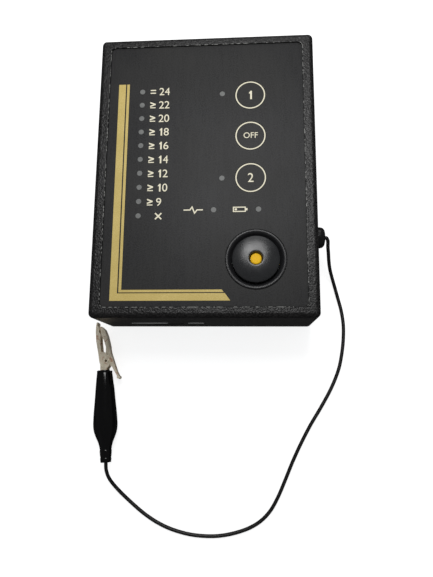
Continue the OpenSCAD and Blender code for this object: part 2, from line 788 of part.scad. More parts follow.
module web(edge, dx, half) {
    translate([0, 0, -half]) linear_extrude(2 * half) polygon(concat(edge, shifted(edge, dx)));
}

handle_top = [1.4, 24.4];
handle_end = 3;

module clip_lower_jaw() color("#b9b3a0") {
    skin = 0.03;
    slot_edge = [[-1.2, 4.6], [-0.95, 6.7], [-0.6, 9.5]];
    row = teeth(-1, 0);
    difference() {
        union() {
            in_jaw() {
                sheets(half_w - jaw_t, half_w)
                    polygon(concat(lower_edge, [[-2.6, -2.6], [0.3, -3], [1.4, -1.7], [1.8, 0.4],
                        [1.4, 2.5], [0.3, 4.1]], slot_edge, [for (i = [tooth_count - 1:-1:0]) row[i]]));
                web(lower_edge, jaw_t, half_w - skin);
            }
            in_clip() {
                sheets(half_w - jaw_t + 2 * skin, half_w - 2 * skin)
                    polygon([[-1.5, handle_end], [1.4, handle_end], [1.5, pivot[1] - 4],
                        [2.2, pivot[1] - 2], [-1.6, pivot[1] + 0.6], [-1.5, pivot[1] - 4]]);
                translate([-1.5, handle_end + 0.2, -half_w + skin])
                    cube([jaw_t, pivot[1] - 5 - handle_end, jaw_w - 2 * skin]);
                translate([-1.2, handle_end - 3, -1.2]) cube([2.4, 3.6, 2.4]);
                translate([-1.3, handle_end + 0.1, -half_w + 0.2]) cube([2.4, 0.6, jaw_w - 0.4]);
            }
        }
        in_jaw() translate([0, 0, -half_w - 1]) cylinder(d = rivet_d + 0.1, h = jaw_w + 2);
    }
}

module clip_upper_jaw() color("#b9b3a0") {
    back = [for (i = [3:-1:0]) upper_edge[i]];
    in_jaw() {
        sheets(half_w - jaw_t, half_w)
            polygon(concat([[tooth_x + jaw_gap + 0.2, upper_l]], teeth(1, 2),
                [[1.2, 9.5], [1.25, 7.8], [1.5, 5.8], [2.9, 5.6]], back));
        difference() {
            sheets(inner_half_w - jaw_t, inner_half_w) {
                polygon([[1.4, 7], [2.95, 7], [2.85, 3], [3.15, -0.4], [3.55, -5.5], [4.2, -8.4],
                    [3.4, -8.3], [2.7, -6], [1.9, -3], [0, -inner_ear_r], [0, inner_ear_r]]);
                circle(inner_ear_r);
            }
            translate([0, 0, -half_w]) cylinder(d = rivet_d + 2 * run, h = jaw_w);
        }
        web([upper_edge[0], upper_edge[1], upper_edge[2], upper_edge[3], [2.93, 5.7]], -jaw_t, half_w);
        web([[2.95, 6.2], [2.85, 3], [3.15, -0.4], [3.55, -5.5], [4.2, -8.4]], -jaw_t, inner_half_w);
        translate([3.8, -8.7, -inner_half_w]) cylinder(r = 0.75, h = 2 * inner_half_w);
    }
}

module clip_rivet() color("#a9a392")
    in_jaw()
        difference() {
            union() {
                translate([0, 0, -half_w - 0.05]) cylinder(d = rivet_d, h = jaw_w + 0.1);
                for (z = [-half_w - 0.35, half_w + 0.02]) translate([0, 0, z]) cylinder(r = 1.3, h = 0.33);
            }
            translate([0, 0, -half_w - 1]) cylinder(r = 0.6, h = jaw_w + 2);
        }

module clip_spring() color("#8f8f88")
    in_jaw() {
        wire_d = 0.44;
        coil_in = rivet_d / 2 + 0.1;
        turns = 3;
        for (i = [0:turns - 1])
            translate([0, 0, (i - turns / 2) * wire_d])
                difference() {
                    cylinder(r = coil_in + wire_d * (i == 1 ? 0.9 : 1), h = wire_d);
                    translate([0, 0, -1]) cylinder(r = coil_in, h = wire_d + 2);
                }
        rotate(12) translate([-coil_in - wire_d, -4.8, -turns * wire_d / 2]) cube([wire_d, 4.8, wire_d]);
        rotate(14) translate([coil_in, -1.4, (turns / 2 - 1) * wire_d]) cube([wire_d, 1.4, wire_d]);
    }

// The boot: turned about the clip's own y axis, open at the mouth, notched for the lever
module clip_boot() color("#0c0c0d") {
    r = boot_d / 2;
    y0 = -boot_ring_y;
    neck_bore_r = lead_r + 0.25;
    outer = [[2.3, y0], [2.5, y0 + 3], [2.75, y0 + 6.6], [3.4, y0 + 8.8], [4.5, y0 + 11.4],
        [r - 0.25, y0 + 13.6], [r, y0 + 15.8], [r - 0.02, y0 + 18], [r - 0.25, y0 + 21.5],
        [r - 0.75, y0 + 27], [boot_mouth_d / 2 + 0.6, y0 + 34], [boot_mouth_d / 2, y0 + boot_l]];
    inner = [for (i = [len(outer) - 1:-1:3]) [outer[i][0] - boot_wall, outer[i][1]]];
    in_clip()
        difference() {
            rotate([-90, 0, 0]) rotate_extrude($fn = 72)
                polygon(concat([[neck_bore_r, y0]], outer, inner,
                    [[neck_bore_r, y0 + 8], [neck_bore_r, y0]]));
            translate([1, y0 + boot_l - 6.6, -inner_half_w - 0.4]) cube([r, 8, 2 * inner_half_w + 0.8]);
        }
}

// Fasteners and feet

module case_screws() color("silver")
    at_each([-boss_x, boss_x], [-boss_y, boss_y])
        difference() {
            union() {
                bore(0, 0, screw_head_d / 2, screw_seat_z - 2, 2);
                bore(0, 0, screw_d / 2, screw_seat_z - eps, 11.6);
            }
            for (a = [0, 90]) translate([0, 0, screw_seat_z - 2 - eps]) rotate(a)
                translate([-1.6, -0.3, 0]) cube([3.2, 0.6, 1.1]);
        }

module rubber_feet() color("#131313")
    at_each([-foot_x, foot_x], [-foot_y, foot_y])
        rotate_extrude()
            polygon([[0, 0], [foot_d / 2 - 0.5, 0], [foot_d / 2, 0.5], [foot_d / 2, foot_h + foot_seat],
                [0, foot_h + foot_seat]]);

front_shell();
rear_shell();
panel_overlay();
key_upper();
key_off();
key_lower();
snap_domes();
karat_leds();
mode_leds();
testing_led();
battery_led();
circuit_board();
microcontroller();
amplifier_chip();
voltage_regulator();
capacitors();
resistors();
crystal();
board_screws();
battery();
battery_snap();
battery_lead_red();
battery_lead_black();
battery_door();
probe_cup();
probe_hood();
probe_tip();
gel_cartridge();
cartridge_piston();
lead_screw();
dispense_knob();
electrode_contact();
lead_grommet();
inner_lead();
test_lead();
clip_lower_jaw();
clip_upper_jaw();
clip_rivet();
clip_spring();
clip_boot();
case_screws();
rubber_feet();
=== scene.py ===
import math

import bmesh
import bpy
from mathutils import Euler, Matrix, Vector


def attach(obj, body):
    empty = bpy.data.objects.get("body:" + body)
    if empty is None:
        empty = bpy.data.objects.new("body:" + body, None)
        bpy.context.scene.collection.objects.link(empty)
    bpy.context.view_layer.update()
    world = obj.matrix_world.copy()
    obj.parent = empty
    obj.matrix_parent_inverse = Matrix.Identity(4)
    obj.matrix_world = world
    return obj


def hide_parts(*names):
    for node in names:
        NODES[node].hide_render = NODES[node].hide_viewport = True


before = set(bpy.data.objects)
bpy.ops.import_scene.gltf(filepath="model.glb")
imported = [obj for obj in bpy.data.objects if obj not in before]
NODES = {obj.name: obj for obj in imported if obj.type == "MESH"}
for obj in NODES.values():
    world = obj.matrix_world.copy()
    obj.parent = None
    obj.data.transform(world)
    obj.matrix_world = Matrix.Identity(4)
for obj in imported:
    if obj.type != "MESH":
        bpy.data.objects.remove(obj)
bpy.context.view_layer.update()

MM = 0.001

# Camera

CAMERA_AT = Vector((18.88, -88.55, 235.23)) * MM
CAMERA_TURN = Euler((math.radians(10.505), math.radians(3.729), math.radians(0.432)))
FOCAL_PX = 500
PHOTO_H = 577
SENSOR = 36

camera_data = bpy.data.cameras.new("camera")
camera_data.sensor_fit = "AUTO"
camera_data.sensor_width = SENSOR
camera_data.lens = FOCAL_PX * SENSOR / PHOTO_H
camera_data.clip_start = 0.01
camera = bpy.data.objects.new("camera", camera_data)
camera.location = CAMERA_AT
camera.rotation_euler = CAMERA_TURN
bpy.context.scene.collection.objects.link(camera)
bpy.context.scene.camera = camera

# Sizes in millimetres, as in the part's source

CASE_W, CASE_L, CASE_H = 95, 127, 36
LEAD_D = 1.6
GROMMET_Y = -25.6
GROMMET_Z = 18
FACE_Z = CASE_H - 0.5
INK_Z = FACE_Z + 0.02

# The lead's route, as in the part's source

LEAD_ROUTE = [
    (CASE_W / 2 - 0.3, GROMMET_Y, GROMMET_Z), (52.4, -25.6, 18), (53.4, -25.8, 17.8),
    (54, -26.9, 16.9), (54.2, -28.9, 15.2), (54.7, -31.4, 12.8), (55.3, -34.4, 9.6),
    (56.2, -37.6, 6.4), (57.6, -41.4, 3.6), (59.1, -46, 1.8), (60.4, -50.8, 1), (61.6, -56, 0.9),
    (62.3, -62.2, 0.9), (62.1, -68.6, 0.9), (61.2, -75.4, 0.9), (59.4, -83, 0.9),
    (55.8, -91.4, 0.9), (51, -99.8, 0.9), (46, -107.8, 0.9), (41.5, -116, 0.9),
    (37.7, -123.8, 0.9), (34.3, -131.6, 0.9), (30.8, -139.2, 0.9), (27, -145.2, 0.9),
    (21.8, -149.8, 0.9), (14.6, -153.1, 0.9), (5, -155.2, 0.9), (-5, -155.2, 0.9),
    (-13.6, -153.6, 0.9), (-21, -150.9, 0.9), (-28, -146.9, 0.9), (-34.6, -141.8, 1.1),
    (-40.2, -136.6, 2), (-43.6, -132, 4), (-44.8, -128, 5.9), (-45.039, -124.435, 6.411),
    (-45.429, -119.257, 6.139), (-45.863, -113.481, 5.836),
]


def along(a, b, c, d, t):
    """A point on the curve that runs through four points, between the middle two"""
    return (2 * b + (c - a) * t + (2 * a - 5 * b + 4 * c - d) * t * t
            + (3 * b - a - 3 * c + d) * t * t * t) / 2


def smooth(points, n):
    """A smooth path through the points, in n steps from each to the next"""
    points = [Vector(p) for p in points]
    last = len(points) - 1
    out = []
    for i in range(last):
        for k in range(n):
            out.append(along(points[max(i - 1, 0)], points[i], points[i + 1],
                             points[min(i + 2, last)], k / n))
    return out + [points[last]]


# Materials: each is a small node tree in real millimetres

# Where the values of a noise or of cells lie: over WIDE a tone changes softly, over NARROW sharply
WIDE, NARROW, CELLS = (0.3, 0.7), (0.35, 0.65), (0.1, 0.6)


def linear(rgb):
    """0-255 display colour to linear, with alpha"""
    out = [(c / 255 / 12.92) if c <= 10.3 else ((c / 255 + 0.055) / 1.055) ** 2.4 for c in rgb]
    return (*out, 1)


class Finish:
    """A material's node tree, and the nodes that most finishes need"""

    def __init__(self, name, rough=0.5, metallic=0, specular=0.5, coat=0, coat_rough=0.1,
                 transmission=0, ior=1.5):
        self.material = bpy.data.materials.new(name)
        self.material.use_nodes = True
        self.tree = self.material.node_tree
        self.bsdf = self.tree.nodes["Principled BSDF"]
        self.set("Roughness", rough)
        self.set("Metallic", metallic)
        self.set("Specular IOR Level", specular)
        self.set("Coat Weight", coat)
        self.set("Coat Roughness", coat_rough)
        self.set("Transmission Weight", transmission)
        self.set("IOR", ior)
        self.place = self.node("ShaderNodeTexCoord").outputs["Object"]

    def node(self, kind):
        return self.tree.nodes.new(kind)

    def set(self, socket, value):
        self.bsdf.inputs[socket].default_value = value

    def link(self, a, b):
        self.tree.links.new(a, b)

    def stretched(self, scale):
        mapping = self.node("ShaderNodeMapping")
        mapping.inputs["Scale"].default_value = scale
        self.link(self.place, mapping.inputs["Vector"])
        return mapping.outputs["Vector"]

    def noise(self, size_mm, detail=4, place=None, distortion=0):
        n = self.node("ShaderNodeTexNoise")
        n.inputs["Scale"].default_value = 1 / (size_mm * MM)
        n.inputs["Detail"].default_value = detail
        n.inputs["Distortion"].default_value = distortion
        self.link(place or self.place, n.inputs["Vector"])
        return n.outputs["Fac"]

    def cells(self, size_mm, place=None, smooth_edges=0.4):
        n = self.node("ShaderNodeTexVoronoi")
        n.feature = "SMOOTH_F1"
        n.inputs["Smoothness"].default_value = smooth_edges
        n.inputs["Scale"].default_value = 1 / (size_mm * MM)
        self.link(place or self.place, n.inputs["Vector"])
        return n.outputs["Distance"]

    def between(self, value, low, high, to_low=0, to_high=1):
        n = self.node("ShaderNodeMapRange")
        limits = {"From Min": low, "From Max": high, "To Min": to_low, "To Max": to_high}
        for socket, limit in limits.items():
            n.inputs[socket].default_value = limit
        self.link(value, n.inputs["Value"])
        return n.outputs["Result"]

    def mix(self, factor, a, b):
        n = self.node("ShaderNodeMix")
        n.data_type = "RGBA"
        self.link(factor, n.inputs["Factor"])
        for value, socket in ((a, n.inputs[6]), (b, n.inputs[7])):
            if isinstance(value, tuple):
                socket.default_value = value
            else:
                self.link(value, socket)
        return n.outputs[2]

    def bump(self, height, depth_mm, strength=1, after=None):
        n = self.node("ShaderNodeBump")
        n.inputs["Distance"].default_value = depth_mm * MM
        n.inputs["Strength"].default_value = strength
        self.link(height, n.inputs["Height"])
        if after:
            self.link(after, n.inputs["Normal"])
        return n.outputs["Normal"]

    def colour(self, socket):
        self.link(socket, self.bsdf.inputs["Base Color"])

    def rough(self, socket):
        self.link(socket, self.bsdf.inputs["Roughness"])

    def normal(self, socket):
        self.link(socket, self.bsdf.inputs["Normal"])


def plain(name, low, high, grain_mm=0.6, patch_mm=12, depth_mm=0.01, rough=(0.4, 0.55), **more):
    """Moulded or painted stuff: two tones in fine and broad noise, and a fine bump"""
    f = Finish(name, **more)
    fine = f.noise(grain_mm, 5)
    broad = f.noise(patch_mm, 3)
    tone = f.mix(f.between(fine, *NARROW), linear(low), linear(high))
    f.colour(f.mix(f.between(broad, *WIDE, 0, 0.35), tone, linear(high)))
    f.rough(f.between(broad, *WIDE, *rough))
    f.normal(f.bump(fine, depth_mm))
    return f.material


def textured_case(name, low, high, specular=0.5):
    """Spark-eroded black plastic: packed glinting grains over a broader patchy tone"""
    grain_mm, depth_mm = 0.5, 0.25
    f = Finish(name, specular=specular)
    grains = f.cells(grain_mm, smooth_edges=0.2)
    lumps = f.noise(grain_mm * 1.4, 2)
    wear = f.noise(18, 4)
    tone = f.mix(f.between(lumps, 0.42, 0.6), linear(low), linear(high))
    f.colour(f.mix(f.between(wear, 0.35, 0.75, 0, 0.3), tone, linear(high)))
    f.rough(f.between(grains, *CELLS, 0.26, 0.38))
    f.normal(f.bump(lumps, depth_mm, 1, f.bump(grains, -depth_mm / 4)))
    return f.material


def overlay_sheet():
    """Satin polycarbonate label: faint mottling and long streaks"""
    f = Finish("overlay_sheet", specular=0.2)
    fine = f.noise(0.45, 6)
    streaks = f.noise(1, 3, f.stretched((1, 0.12, 1)))
    broad = f.noise(32, 3)
    tone = f.mix(f.between(fine, 0.36, 0.64), linear((22, 22, 24)), linear((50, 50, 51)))
    tone = f.mix(f.between(streaks, 0.4, 0.62, 0, 0.4), tone, linear((49, 49, 50)))
    f.colour(f.mix(f.between(broad, *WIDE, 0, 0.45), tone, linear((56, 55, 53))))
    f.rough(f.between(broad, *WIDE, 0.42, 0.52))
    f.normal(f.bump(fine, 0.012))
    return f.material


def metallic_ink():
    """Gold print: flakes in a matt ink, a little thinner in places"""
    f = Finish("gold_ink", specular=0.45)
    flakes = f.cells(0.35, smooth_edges=0.2)
    broad = f.noise(9, 4)
    tone = f.mix(f.between(flakes, *CELLS), linear((232, 208, 134)), linear((206, 182, 104)))
    f.colour(f.mix(f.between(broad, 0.35, 0.7, 0, 0.5), tone, linear((196, 172, 92))))
    f.rough(f.between(flakes, *CELLS, 0.35, 0.55))
    f.normal(f.bump(flakes, 0.01))
    return f.material


def clip_metal():
    """Pale nickel, worn through in spots to the copper under it"""
    f = Finish("clip_metal", metallic=0.3)
    brushed = f.noise(0.5, 5, f.stretched((1, 0.2, 1)))
    worn = f.noise(2.2, 6, distortion=0.6)
    tone = f.mix(f.between(brushed, *NARROW), linear((250, 240, 218)), linear((232, 218, 192)))
    f.colour(f.mix(f.between(worn, 0.56, 0.68, 0, 0.75), tone, linear((190, 126, 88))))
    f.rough(f.between(worn, 0.35, 0.7, 0.26, 0.5))
    f.normal(f.bump(brushed, 0.03))
    return f.material


def scuffed():
    """Painted highlight: a moulding's sharp edge catching light in pale dashes"""
    f = Finish("painted_rim_glint", specular=0.4)
    dashes = f.noise(1.3, 4, distortion=0.3)
    f.colour(f.mix(f.between(dashes, 0.5, 0.58), linear((16, 16, 17)), linear((176, 176, 172))))
    f.rough(f.between(dashes, 0.4, 0.6, 0.5, 0.3))
    f.normal(f.bump(dashes, 0.01))
    return f.material


def board_laminate():
    """Green solder mask with tracks that stand a little proud"""
    f = Finish("board_laminate", coat=0.3, coat_rough=0.2)
    tracks = f.node("ShaderNodeTexBrick")
    tracks.inputs["Scale"].default_value = 160
    tracks.inputs["Mortar Size"].default_value = 0.012
    tracks.inputs["Color1"].default_value = linear((20, 74, 46))
    tracks.inputs["Color2"].default_value = linear((24, 84, 52))
    tracks.inputs["Mortar"].default_value = linear((60, 128, 84))
    f.link(f.place, tracks.inputs["Vector"])
    patches = f.between(f.noise(14, 3), *WIDE, 0, 0.3)
    f.colour(f.mix(patches, tracks.outputs["Color"], linear((18, 66, 44))))
    f.rough(f.between(f.noise(4, 3), *WIDE, 0.28, 0.42))
    f.normal(f.bump(tracks.outputs["Fac"], 0.03))
    return f.material


def banded(name, first, second, band_mm, axis, **more):
    """Two colours in bands across one axis, such as resistor rings or a battery's wrap"""
    wave_length = 0.314  # of Blender's wave texture, at a scale of 1
    f = Finish(name, **more)
    wave = f.node("ShaderNodeTexWave")
    wave.bands_direction = axis
    wave.inputs["Scale"].default_value = wave_length / (band_mm * MM)
    f.link(f.place, wave.inputs["Vector"])
    f.colour(f.mix(f.between(wave.outputs["Fac"], 0.8, 0.86), linear(first), linear(second)))
    f.rough(f.between(f.noise(5, 4), *WIDE, 0.3, 0.45))
    f.normal(f.bump(f.noise(0.5, 4), 0.008))
    return f.material


def lens():
    """Grey epoxy lamp head, a little cloudy"""
    f = Finish("lamp_lens", specular=0.3)
    cloud = f.noise(0.9, 4)
    f.colour(f.mix(f.between(cloud, 0.38, 0.62), linear((112, 113, 112)), linear((124, 125, 123))))
    f.rough(f.between(cloud, *WIDE, 0.4, 0.55))
    f.normal(f.bump(cloud, 0.004))
    return f.material


def clear_plastic():
    """Clear moulding with faint flow marks along its length"""
    f = Finish("clear_cartridge", rough=0.15, transmission=0.6, ior=1.49)
    flow = f.noise(6, 4, f.stretched((1, 1, 0.3)))
    f.colour(f.mix(f.between(flow, *WIDE), linear((205, 206, 206)), linear((226, 227, 228))))
    f.rough(f.between(flow, *WIDE, 0.12, 0.3))
    f.normal(f.bump(flow, 0.02))
    return f.material


def wire_vinyl():
    """Limp black flex: the strands under the skin show as a slow twist"""
    f = Finish("wire_vinyl")
    twist = f.cells(1.6, f.stretched((1, 1, 0.6)), 0.8)
    fine = f.noise(0.25, 4)
    f.colour(f.mix(f.between(twist, 0.1, 0.7), linear((34, 32, 31)), linear((20, 20, 21))))
    f.rough(f.between(fine, *WIDE, 0.32, 0.5))
    f.normal(f.bump(twist, 0.12, 0.8, f.bump(fine, 0.01)))
    return f.material


CASE = textured_case("case_plastic", (6, 6, 7), (36, 35, 35))
BASE = textured_case("base_plastic", (22, 21, 21), (46, 45, 43), specular=0.3)
OVERLAY = overlay_sheet()
GOLD = metallic_ink()
INK = plain("cream_ink", (236, 228, 194), (250, 244, 220), grain_mm=0.4, patch_mm=6,
            rough=(0.45, 0.6))
METAL = clip_metal()
STEEL = plain("plated_steel", (172, 174, 176), (198, 199, 200), grain_mm=0.3, rough=(0.2, 0.36),
              metallic=1)
BRASS = plain("brass", (196, 158, 82), (214, 180, 104), grain_mm=0.3, rough=(0.22, 0.38),
              metallic=1)
BOARD = board_laminate()
CHIP = plain("chip_moulding", (26, 26, 28), (38, 38, 40), grain_mm=0.15, rough=(0.5, 0.65))
SLEEVE = banded("capacitor_sleeve", (24, 28, 44), (168, 172, 180), 9, "X")
RESISTOR = banded("resistor_bands", (196, 166, 120), (120, 52, 30), 1.1, "X", coat=0.3)
WRAP = banded("battery_wrap", (28, 30, 34), (176, 128, 62), 46, "Y", metallic=0.2, coat=0.3)
RED_WIRE = plain("red_wire", (146, 22, 20), (172, 34, 28), grain_mm=0.3, rough=(0.35, 0.5))
BLACK_WIRE = plain("black_wire", (20, 20, 21), (32, 32, 33), grain_mm=0.3, rough=(0.35, 0.5))
HOOD = plain("hood_plastic", (30, 31, 33), (42, 43, 45), grain_mm=0.25, patch_mm=5,
             depth_mm=0.012, rough=(0.24, 0.34), specular=0.7)
CUP = plain("cup_plastic", (26, 26, 28), (36, 36, 38), grain_mm=0.3, patch_mm=5, depth_mm=0.02,
            rough=(0.34, 0.46))
TIP = plain("tip_felt", (214, 160, 4), (232, 184, 22), grain_mm=0.35, patch_mm=2, depth_mm=0.05,
            rough=(0.6, 0.8))
# Painted light: the tip glows faintly, to lift it out of the shade of the hole it sits in
TIP_PAINTED_GLOW = TIP.node_tree.nodes["Principled BSDF"].inputs
TIP_PAINTED_GLOW["Emission Color"].default_value = linear((255, 205, 10))
TIP_PAINTED_GLOW["Emission Strength"].default_value = 0.2
# Near-white, to paint a highlight on the battery door's edge
PAINTED_HIGHLIGHT = plain("painted_door_highlight", (236, 236, 234), (252, 252, 250), grain_mm=0.4, patch_mm=4,
             rough=(0.3, 0.5))
# Painted highlight along the rim's inner edge
RIM_GLINT = scuffed()
CLEAR = clear_plastic()
BOOT = plain("boot_vinyl", (3, 3, 4), (7, 7, 8), grain_mm=0.8, patch_mm=6, depth_mm=0.008,
             rough=(0.07, 0.12))
RUBBER = plain("rubber", (20, 20, 20), (31, 31, 31), grain_mm=0.2, patch_mm=4, depth_mm=0.03,
               rough=(0.62, 0.78))
BUSH = plain("bush_rubber", (12, 12, 13), (22, 22, 23), grain_mm=0.4, patch_mm=3,
             rough=(0.2, 0.32), coat=0.3)
LENS = lens()
VINYL = wire_vinyl()

LOOKS = {
    CASE: ["front_shell"],
    BASE: ["rear_shell", "battery_door", "dispense_knob"],
    OVERLAY: ["panel_overlay", "key_upper", "key_off", "key_lower"],
    STEEL: ["board_screws", "case_screws", "crystal", "snap_domes", "lead_screw", "clip_spring"],
    BRASS: ["electrode_contact"],
    LENS: ["karat_leds", "mode_leds", "testing_led", "battery_led"],
    BOARD: ["circuit_board"],
    CHIP: ["microcontroller", "amplifier_chip", "voltage_regulator", "battery_snap",
           "cartridge_piston"],
    SLEEVE: ["capacitors"],
    RESISTOR: ["resistors"],
    WRAP: ["battery"],
    RED_WIRE: ["battery_lead_red"],
    BLACK_WIRE: ["battery_lead_black", "inner_lead"],
    HOOD: ["probe_hood"],
    CUP: ["probe_cup"],
    TIP: ["probe_tip"],
    CLEAR: ["gel_cartridge"],
    METAL: ["clip_lower_jaw", "clip_upper_jaw", "clip_rivet"],
    BOOT: ["clip_boot"],
    BUSH: ["lead_grommet"],
    RUBBER: ["rubber_feet"],
    VINYL: ["test_lead"],
}
for material, names in LOOKS.items():
    for name in names:
        data = NODES[name].data
        data.materials.clear()
        data.materials.append(material)

# Piece builders


def add(name, data, material, body):
    """An object of that mesh or curve, on that body"""
    obj = bpy.data.objects.new(name, data)
    bpy.context.scene.collection.objects.link(obj)
    data.materials.clear()
    data.materials.append(material)
    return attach(obj, body)


def mesh_from(name, points, faces, turn=None):
    """A mesh from points in millimetres, shaded smooth"""
    data = bpy.data.meshes.new(name)
    turn = turn or Matrix.Identity(4)
    data.from_pydata([(turn @ Vector(p)) * MM for p in points], [], faces)
    data.validate()
    bm = bmesh.new()
    bm.from_mesh(data)
    bmesh.ops.recalc_face_normals(bm, faces=bm.faces)
    for face in bm.faces:
        face.smooth = True
    bm.to_mesh(data)
    bm.free()
    return data


def block(name, xs, ys, zs, turn=None):
    """A box between two values on each axis"""
    corners = [(x, y, z) for x in xs for y in ys for z in zs]
    faces = [(0, 1, 3, 2), (4, 6, 7, 5), (0, 4, 5, 1), (2, 3, 7, 6), (0, 2, 6, 4), (1, 5, 7, 3)]
    return mesh_from(name, corners, faces, turn)


def turned(name, profile, turn, sides=96, flute=None):
    """A closed ring of (radius, height) points, turned about the third axis of turn"""
    points, faces = [], []
    n = len(profile)
    for i in range(sides):
        a = 2 * math.pi * i / sides
        for r, h in profile:
            r += flute(a, h) if flute else 0
            points.append((r * math.cos(a), r * math.sin(a), h))
    for i in range(sides):
        for k in range(n):
            m, j = (k + 1) % n, (i + 1) % sides
            faces.append((i * n + k, j * n + k, j * n + m, i * n + m))
    return mesh_from(name, points, faces, turn)


def as_mesh(name, curve, z, material, body, fit=None):
    """The curve as a mesh at that height, scaled into the box fit = (x0, y0, x1, y1)"""
    temp = bpy.data.objects.new(name + "_curve", curve)
    bpy.context.scene.collection.objects.link(temp)
    bpy.context.view_layer.update()
    graph = bpy.context.evaluated_depsgraph_get()
    data = bpy.data.meshes.new_from_object(temp.evaluated_get(graph))
    bpy.data.objects.remove(temp)
    if fit:
        xs = [v.co.x for v in data.vertices]
        ys = [v.co.y for v in data.vertices]
        sx = (fit[2] - fit[0]) * MM / (max(xs) - min(xs))
        sy = (fit[3] - fit[1]) * MM / (max(ys) - min(ys))
        for v in data.vertices:
            v.co.x = (v.co.x - min(xs)) * sx + fit[0] * MM
            v.co.y = (v.co.y - min(ys)) * sy + fit[1] * MM
    for v in data.vertices:
        v.co.z += z * MM
    return add(name, data, material, body)


def flat_print(name, outline, z, material, body="case", thick=0.04, holes=()):
    """A layer of a few hundredths of a millimetre on a flat face"""
    data = bpy.data.curves.new(name, "CURVE")
    data.dimensions = "2D"
    data.fill_mode = "BOTH"
    data.extrude = thick / 2 * MM
    for loop in (outline, *holes):
        spline = data.splines.new("POLY")
        spline.points.add(len(loop) - 1)
        for point, (x, y) in zip(spline.points, loop):
            point.co = (x * MM, y * MM, 0, 1)
        spline.use_cyclic_u = True
    return as_mesh(name, data, z, material, body)


def inked(name, outline, body="case", holes=()):
    """A cream mark on the overlay, or on a key"""
    return flat_print(name, outline, INK_Z, INK, body, holes=holes)


def lettering(name, text, fit, body="case"):
    """Cream figures or letters that fill the box fit"""
    data = bpy.data.curves.new(name, "FONT")
    data.body = text
    data.extrude = 0.02 * MM
    data.offset = 0.002
    data.space_character = 1.02
    return as_mesh(name, data, INK_Z, INK, body, fit)


def one(x, y, w, h):
    """The outline of a figure 1 with a flag, in that box"""
    stem = 0.19 * h
    right = x + w
    return [(right, y), (right, y + h), (right - 0.75 * stem, y + h),
            (right - 1.3 * stem, y + 0.86 * h), (x, y + 0.79 * h), (x, y + 0.66 * h),
            (right - stem, y + 0.71 * h), (right - stem, y)]


def figures(name, text, left, y, w, h, body="case"):
    """A number from figures of equal width w, whose height h has y in its middle"""
    for i, figure in enumerate(text):
        x = left + i * (w + 0.25)
        low = y - h / 2
        if figure == "1":
            inked(f"{name}_{i}", one(x + 0.28 * w, low, 0.52 * w, h), body)
        else:
            lettering(f"{name}_{i}", figure, (x, low, x + w, y + h / 2), body)


# Outlines


def circle(x, y, r, n=72):
    turns = [2 * math.pi * i / n for i in range(n)]
    return [(x + r * math.cos(a), y + r * math.sin(a)) for a in turns]


def box(x0, y0, x1, y1):
    return [(x0, y0), (x1, y0), (x1, y1), (x0, y1)]


def shifted(outline, x, y):
    return [(x + px, y + py) for px, py in outline]


def rounded(w, l, r, n=8):
    """A rounded rectangle about the origin, with n steps in each corner"""
    out = []
    for i, (sx, sy) in enumerate(((1, 1), (-1, 1), (-1, -1), (1, -1))):
        for k in range(n + 1):
            a = math.pi / 2 * (i + k / n)
            out.append((sx * (w / 2 - r) + r * math.cos(a), sy * (l / 2 - r) + r * math.sin(a)))
    return out


def strip(points, width):
    """A band of that width along a path"""
    left, right = [], []
    path = [Vector((*p, 0)) for p in points]
    for i, p in enumerate(path):
        before = (p - path[i - 1]).normalized() if i else (path[1] - p).normalized()
        after = (path[i + 1] - p).normalized() if i < len(path) - 1 else before
        mid = (before + after).normalized()
        side = Vector((-mid.y, mid.x, 0))
        reach = width / 2 / max(side.dot(Vector((-after.y, after.x, 0))), 0.35)
        left.append(tuple((p + side * reach).xy))
        right.append(tuple((p - side * reach).xy))
    return left + right[::-1]


# The lead

lead_points = smooth(LEAD_ROUTE, 4)
lead_curve = bpy.data.curves.new("lead", "CURVE")
lead_curve.dimensions = "3D"
lead_curve.bevel_depth = LEAD_D / 2 * MM
lead_curve.bevel_resolution = 5
lead_curve.use_fill_caps = True
spline = lead_curve.splines.new("POLY")
spline.points.add(len(lead_points) - 1)
for point, at in zip(spline.points, lead_points):
    point.co = (*(at * MM), 1)
lead = add("lead", lead_curve, VINYL, "case")
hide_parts("test_lead")

# The grommet: a glossy bush with a rolled shoulder, and a collar where the wire comes out

GROMMET_R, GROMMET_NECK_R = 4.7, 3.5
GROMMET_BORE = LEAD_D / 2 + 0.05
grommet_profile = [
    (GROMMET_BORE, -3.8), (4.6, -3.8), (GROMMET_R, -3.6), (GROMMET_R, -2.4), (4.6, -2.26),
    (GROMMET_NECK_R, -2.25), (GROMMET_NECK_R, 0.06), (4.55, 0.06), (GROMMET_R, 0.2),
    (GROMMET_R, 1.5), (4.68, 2.6), (4.55, 3.4), (4.2, 4.1), (3.6, 4.6), (2.8, 4.84), (2.2, 4.88),
    (1.9, 4.78), (1.6, 4.74), (1.3, 4.8), (1.05, 4.88), (GROMMET_BORE, 4.88),
]
to_grommet = (Matrix.Translation((CASE_W / 2, GROMMET_Y, GROMMET_Z))
              @ Matrix.Rotation(math.pi / 2, 4, "Y"))
grommet_data = turned("grommet", grommet_profile, to_grommet)
grommet = add("grommet", grommet_data, BUSH, "case")
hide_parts("lead_grommet")

# The probe's cup and hood: as the part's pieces, with their turned edges rounded over

